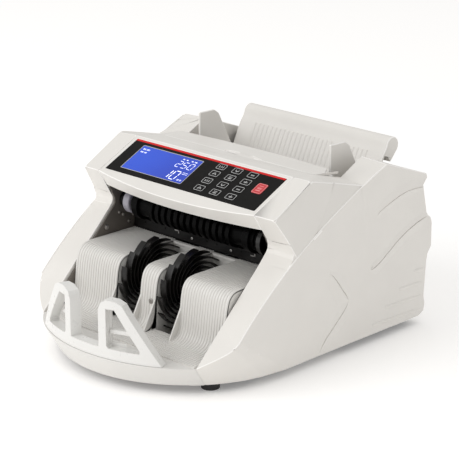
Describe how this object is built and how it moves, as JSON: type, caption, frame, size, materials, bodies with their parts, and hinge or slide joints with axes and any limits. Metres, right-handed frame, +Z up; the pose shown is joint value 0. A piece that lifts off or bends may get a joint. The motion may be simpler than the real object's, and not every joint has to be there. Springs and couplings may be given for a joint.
{
  "type": "banknote counting machine",
  "caption": "Desktop banknote counter: rear hopper, sloping keypad with display, rollers under the head, two finger wheels and a front stacker with an A-frame stop.",
  "frame": {"origin": "bottom centre of the whole machine, on the surface its feet stand on", "axes": "+Z up; the front (stacker and keypad side) faces -Y; +X is to the right for someone facing the front"},
  "size_m": [0.2824, 0.3612, 0.205],
  "materials": {
    "housing": "off-white moulded ABS, fine satin texture",
    "bed": "light grey moulded ABS with fine ribs",
    "stop": "white moulded plastic, slight gloss",
    "overlay": "black printed keypad film with a red stripe",
    "lens": "clear blue display window",
    "lcd": "blue backlit display module",
    "key": "black film key with a silver outline",
    "start_key": "red film key",
    "board": "green circuit board",
    "impeller": "glossy black moulded rubber",
    "rubber": "black rubber",
    "black": "black moulded plastic",
    "steel": "plain pressed steel sheet and turned steel",
    "motor": "zinc-plated motor can",
    "iron": "varnished transformer laminations"
  },
  "bodies": {
    "housing": {"base_pan": "steel", "bearing_left": "black", "bearing_right": "black", "bed_screw": "steel", "exit_belt": "rubber", "feed_belt": "rubber", "foot_front_left": "rubber", "foot_front_right": "rubber", "foot_rear_left": "rubber", "foot_rear_right": "rubber", "head_cover": "housing", "hopper_tray": "housing", "key_board": "board", "lcd_module": "lcd", "lcd_window": "lens", "main_board": "board", "mains_inlet": "black", "motor": "motor", "panel_overlay": "overlay", "rear_cover": "housing", "retard_bracket": "steel", "retard_pad": "rubber", "sensor_bar": "black", "side_cover_left": "housing", "side_cover_right": "housing", "side_plate_left": "steel", "side_plate_right": "steel", "stacker_bed": "bed", "stacker_belt": "rubber", "stacker_stop": "stop", "switch_case": "black", "transformer": "iron"},
    "feed_rotor": {"feed_roller": "rubber", "feed_pulley": "steel"},
    "motor_rotor": {"motor_pulley": "steel"},
    "stacker_rotor": {"stacker_shaft": "steel", "impeller_left": "impeller", "impeller_right": "impeller", "stacker_pulley": "steel"},
    "exit_rotor": {"exit_roller": "rubber"},
    "pinch_rotor": {"pinch_roller": "rubber"},
    "pickup_rotor": {"pickup_roller": "rubber"},
    "flap": {"feeder_flap": "housing"},
    "guide_right": {"note_guide_right": "housing"},
    "guide_left": {"note_guide_left": "housing"},
    "power_rocker": {"power_switch": "black"},
    "knob": {"gap_knob": "black"},
    "body_key_01": {"key_01": "key"},
    "body_key_02": {"key_02": "key"},
    "body_key_03": {"key_03": "key"},
    "body_key_04": {"key_04": "key"},
    "body_key_05": {"key_05": "key"},
    "body_key_06": {"key_06": "key"},
    "body_key_07": {"key_07": "key"},
    "body_key_08": {"key_08": "key"},
    "body_key_09": {"key_09": "key"},
    "body_key_10": {"key_10": "key"},
    "body_key_11": {"key_11": "key"},
    "body_key_12": {"key_12": "key"},
    "body_start_key": {"start_key": "start_key"}
  },
  "joints": [
    {"name": "stacker_spin", "type": "hinge", "parent": "housing", "child": "stacker_rotor", "pos_m": [0, -0.0501, 0.0625], "axis": [1, 0, 0], "continuous": true},
    {"name": "feed_spin", "type": "hinge", "parent": "housing", "child": "feed_rotor", "pos_m": [0, 0.0504, 0.131], "axis": [1, 0, 0], "continuous": true},
    {"name": "motor_spin", "type": "hinge", "parent": "housing", "child": "motor_rotor", "pos_m": [0, 0.0884, 0.052], "axis": [1, 0, 0], "continuous": true},
    {"name": "exit_spin", "type": "hinge", "parent": "housing", "child": "exit_rotor", "pos_m": [0, -0.0231, 0.128], "axis": [1, 0, 0], "continuous": true},
    {"name": "pinch_spin", "type": "hinge", "parent": "housing", "child": "pinch_rotor", "pos_m": [0, 0.0056, 0.121], "axis": [1, 0, 0], "continuous": true},
    {"name": "pickup_spin", "type": "hinge", "parent": "housing", "child": "pickup_rotor", "pos_m": [0, 0.1004, 0.1353], "axis": [1, 0, 0], "continuous": true},
    {"name": "flap_lift", "type": "hinge", "parent": "housing", "child": "flap", "pos_m": [0, 0.0574, 0.1774], "axis": [-1, 0, 0], "range_deg": [0, 70]},
    {"name": "guide_right_slide", "type": "slide", "parent": "housing", "child": "guide_right", "axis": [1, 0, 0], "range_m": [-0.035, 0.006]},
    {"name": "guide_left_slide", "type": "slide", "parent": "housing", "child": "guide_left", "axis": [-1, 0, 0], "range_m": [-0.035, 0.006]},
    {"name": "power_rock", "type": "hinge", "parent": "housing", "child": "power_rocker", "pos_m": [-0.047, 0.1736, 0.04], "axis": [0, 0, 1], "range_deg": [0, 14]},
    {"name": "knob_turn", "type": "hinge", "parent": "housing", "child": "knob", "pos_m": [0, 0.1736, 0.136], "axis": [0, 1, 0], "range_deg": [-180, 180]},
    {"name": "key_01_press", "type": "slide", "parent": "housing", "child": "body_key_01", "axis": [0, 0.4266, -0.9045], "range_m": [0, 0.0006], "stiffness_N_per_m": 400},
    {"name": "key_02_press", "type": "slide", "parent": "housing", "child": "body_key_02", "axis": [0, 0.4266, -0.9045], "range_m": [0, 0.0006], "stiffness_N_per_m": 400},
    {"name": "key_03_press", "type": "slide", "parent": "housing", "child": "body_key_03", "axis": [0, 0.4266, -0.9045], "range_m": [0, 0.0006], "stiffness_N_per_m": 400},
    {"name": "key_04_press", "type": "slide", "parent": "housing", "child": "body_key_04", "axis": [0, 0.4266, -0.9045], "range_m": [0, 0.0006], "stiffness_N_per_m": 400},
    {"name": "key_05_press", "type": "slide", "parent": "housing", "child": "body_key_05", "axis": [0, 0.4266, -0.9045], "range_m": [0, 0.0006], "stiffness_N_per_m": 400},
    {"name": "key_06_press", "type": "slide", "parent": "housing", "child": "body_key_06", "axis": [0, 0.4266, -0.9045], "range_m": [0, 0.0006], "stiffness_N_per_m": 400},
    {"name": "key_07_press", "type": "slide", "parent": "housing", "child": "body_key_07", "axis": [0, 0.4266, -0.9045], "range_m": [0, 0.0006], "stiffness_N_per_m": 400},
    {"name": "key_08_press", "type": "slide", "parent": "housing", "child": "body_key_08", "axis": [0, 0.4266, -0.9045], "range_m": [0, 0.0006], "stiffness_N_per_m": 400},
    {"name": "key_09_press", "type": "slide", "parent": "housing", "child": "body_key_09", "axis": [0, 0.4266, -0.9045], "range_m": [0, 0.0006], "stiffness_N_per_m": 400},
    {"name": "key_10_press", "type": "slide", "parent": "housing", "child": "body_key_10", "axis": [0, 0.4266, -0.9045], "range_m": [0, 0.0006], "stiffness_N_per_m": 400},
    {"name": "key_11_press", "type": "slide", "parent": "housing", "child": "body_key_11", "axis": [0, 0.4266, -0.9045], "range_m": [0, 0.0006], "stiffness_N_per_m": 400},
    {"name": "key_12_press", "type": "slide", "parent": "housing", "child": "body_key_12", "axis": [0, 0.4266, -0.9045], "range_m": [0, 0.0006], "stiffness_N_per_m": 400},
    {"name": "start_key_press", "type": "slide", "parent": "housing", "child": "body_start_key", "axis": [0, 0.4266, -0.9045], "range_m": [0, 0.0006], "stiffness_N_per_m": 400}
  ],
  "couplings": [
    {"joint": "stacker_spin", "follows": "motor_spin", "ratio": 0.625},
    {"joint": "feed_spin", "follows": "motor_spin", "ratio": 0.71429},
    {"joint": "exit_spin", "follows": "motor_spin", "ratio": 0.8},
    {"joint": "pinch_spin", "follows": "motor_spin", "ratio": -0.95385},
    {"joint": "pickup_spin", "follows": "motor_spin", "ratio": 1.0204}
  ]
}
